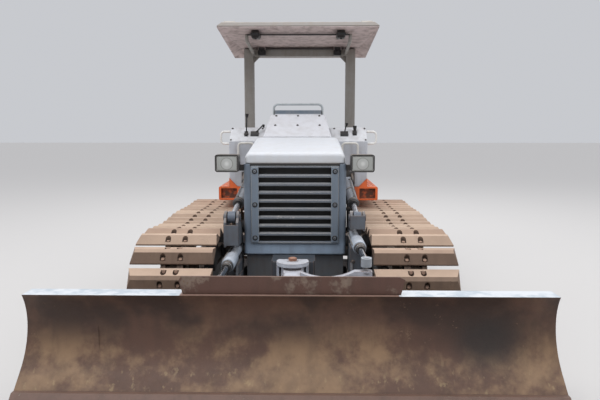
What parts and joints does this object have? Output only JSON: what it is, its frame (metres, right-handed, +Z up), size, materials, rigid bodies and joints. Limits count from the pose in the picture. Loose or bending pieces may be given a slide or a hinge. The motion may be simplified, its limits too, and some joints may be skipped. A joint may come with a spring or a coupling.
{
  "type": "small crawler bulldozer",
  "caption": "Small crawler bulldozer with wide swamp shoes, an open two-post canopy and a blade that lifts, angles and tilts.",
  "frame": {"origin": "on the ground, at the middle of the whole machine's length and width", "axes": "+Z up, +Y to the rear, -Y towards the blade, +X to the right of someone facing the blade"},
  "size_m": [2.6398, 3.528, 2.248],
  "materials": {
    "shoe_steel": "dusty worn rust",
    "wheel_steel": "worn, dusty",
    "frame_paint": "worn slate paint",
    "guard_paint": "satin slate paint",
    "core_metal": "dark fins",
    "case_iron": "painted casting",
    "grille_paint": "worn pale grey",
    "hood_paint": "faded off-white",
    "cowl_paint": "light grey paint",
    "orange_paint": "worn orange paint",
    "console_paint": "light grey paint",
    "black_plastic": "matte",
    "seat_vinyl": "worn black vinyl",
    "canopy_paint": "dirty beige grey",
    "liner_board": "dusty board",
    "lamp_plastic": "matte black",
    "cylinder_paint": "light grey paint",
    "rod_chrome": "polished rod",
    "worn_steel": "bare, lightly rusted",
    "blade_steel": "rust and dried soil"
  },
  "bodies": {
    "root": {"track_right": "shoe_steel", "track_left": "shoe_steel", "idler_right": "wheel_steel", "idler_left": "wheel_steel", "sprocket_right": "wheel_steel", "sprocket_left": "wheel_steel", "track_rollers": "wheel_steel", "track_frame_right": "frame_paint", "track_frame_left": "frame_paint", "equalizer_bar": "frame_paint", "final_drives": "frame_paint", "main_frame": "frame_paint", "rear_case": "case_iron", "drawbar": "frame_paint", "engine_block": "case_iron", "radiator_guard": "guard_paint", "radiator_core": "core_metal", "grille": "grille_paint", "hood": "hood_paint", "cowl": "cowl_paint", "firewall": "frame_paint", "side_panels": "cowl_paint", "deck_floor": "frame_paint", "fender_steps": "orange_paint", "console_right": "console_paint", "console_left": "console_paint", "levers": "black_plastic", "dash_rail": "cowl_paint", "seat_base": "frame_paint", "seat_cushion": "seat_vinyl", "seat_back": "seat_vinyl", "fuel_tank": "hood_paint", "canopy_frame": "canopy_paint", "canopy_roof": "canopy_paint", "roof_liner": "liner_board", "headlights": "lamp_plastic"},
    "c_frame": {"push_arm_left": "frame_paint", "push_arm_right": "frame_paint", "c_frame_nose": "frame_paint"},
    "lift_barrel_left": {"lift_barrel_left": "cylinder_paint"},
    "lift_barrel_right": {"lift_barrel_right": "cylinder_paint"},
    "lift_rod_left": {"lift_rod_left": "rod_chrome"},
    "lift_rod_right": {"lift_rod_right": "rod_chrome"},
    "angle_barrel_left": {"angle_barrel_left": "cylinder_paint"},
    "angle_barrel_right": {"angle_barrel_right": "cylinder_paint"},
    "angle_rod_left": {"angle_rod_left": "rod_chrome"},
    "angle_rod_right": {"angle_rod_right": "rod_chrome"},
    "angle_yoke": {"angle_yoke": "worn_steel"},
    "tilt_barrel": {"tilt_barrel": "cylinder_paint"},
    "tilt_rod": {"tilt_rod": "rod_chrome"},
    "blade": {"moldboard": "blade_steel", "cutting_edge": "blade_steel", "blade_back": "blade_steel"}
  },
  "joints": [
    {"name": "blade_lift", "type": "hinge", "parent": "root", "child": "c_frame", "pos_m": [0, 0.3, 0.3], "axis": [-1, 0, 0], "range_deg": [-8.5, 20]},
    {"name": "blade_angle", "type": "hinge", "parent": "c_frame", "child": "angle_yoke", "pos_m": [0, -0.96, 0.45], "axis": [0, 0, 1], "range_deg": [-25, 25]},
    {"name": "blade_tilt", "type": "hinge", "parent": "angle_yoke", "child": "blade", "pos_m": [0, -1.285, 0.352], "axis": [0, 1, 0], "range_deg": [-6.5, 6.5]},
    {"name": "lift_barrel_left_swing", "type": "hinge", "parent": "root", "child": "lift_barrel_left", "pos_m": [-0.4, 0.42, 0.975], "axis": [-1, 0, 0], "range_deg": [-7.02, 16.51]},
    {"name": "lift_rod_left_slide", "type": "slide", "parent": "lift_barrel_left", "child": "lift_rod_left", "axis": [0, -0.9895, -0.1444], "range_m": [-0.23247, 0.09909]},
    {"name": "angle_barrel_left_swing", "type": "hinge", "parent": "c_frame", "child": "angle_barrel_left", "pos_m": [-0.38, -0.4, 0.605], "axis": [-0.0028, -0.0711, 0.9975], "range_deg": [-4.51, 4.51]},
    {"name": "angle_rod_left_slide", "type": "slide", "parent": "angle_barrel_left", "child": "angle_rod_left", "axis": [-0.0399, -0.9967, -0.0712], "range_m": [-0.16085, 0.16085]},
    {"name": "lift_barrel_right_swing", "type": "hinge", "parent": "root", "child": "lift_barrel_right", "pos_m": [0.4, 0.42, 0.975], "axis": [-1, 0, 0], "range_deg": [-7.02, 16.51]},
    {"name": "lift_rod_right_slide", "type": "slide", "parent": "lift_barrel_right", "child": "lift_rod_right", "axis": [0, -0.9895, -0.1444], "range_m": [-0.23247, 0.09909]},
    {"name": "angle_barrel_right_swing", "type": "hinge", "parent": "c_frame", "child": "angle_barrel_right", "pos_m": [0.38, -0.4, 0.712], "axis": [0.0025, -0.0626, 0.998], "range_deg": [-4.51, 4.51]},
    {"name": "angle_rod_right_slide", "type": "slide", "parent": "angle_barrel_right", "child": "angle_rod_right", "axis": [0.0399, -0.9972, -0.0627], "range_m": [-0.16096, 0.16096]},
    {"name": "tilt_barrel_swing", "type": "hinge", "parent": "angle_yoke", "child": "tilt_barrel", "pos_m": [-0.3, -1.172, 0.525], "axis": [0, 1, 0], "range_deg": [-3.38, 3.38]},
    {"name": "tilt_rod_slide", "type": "slide", "parent": "tilt_barrel", "child": "tilt_rod", "axis": [0.9983, 0, 0.0582], "range_m": [-0.02206, 0.02206]}
  ],
  "couplings": [
    {"joint": "lift_barrel_left_swing", "follows": "blade_lift", "ratio": 0.8252},
    {"joint": "lift_rod_left_slide", "follows": "blade_lift", "m_per_rad": -0.66454},
    {"joint": "angle_barrel_left_swing", "follows": "blade_angle", "ratio": 0.18},
    {"joint": "angle_rod_left_slide", "follows": "blade_angle", "m_per_rad": 0.3675},
    {"joint": "lift_barrel_right_swing", "follows": "blade_lift", "ratio": 0.8252},
    {"joint": "lift_rod_right_slide", "follows": "blade_lift", "m_per_rad": -0.66454},
    {"joint": "angle_barrel_right_swing", "follows": "blade_angle", "ratio": 0.18},
    {"joint": "angle_rod_right_slide", "follows": "blade_angle", "m_per_rad": -0.36775},
    {"joint": "tilt_barrel_swing", "follows": "blade_tilt", "ratio": 0.51873},
    {"joint": "tilt_rod_slide", "follows": "blade_tilt", "m_per_rad": 0.19007}
  ]
}
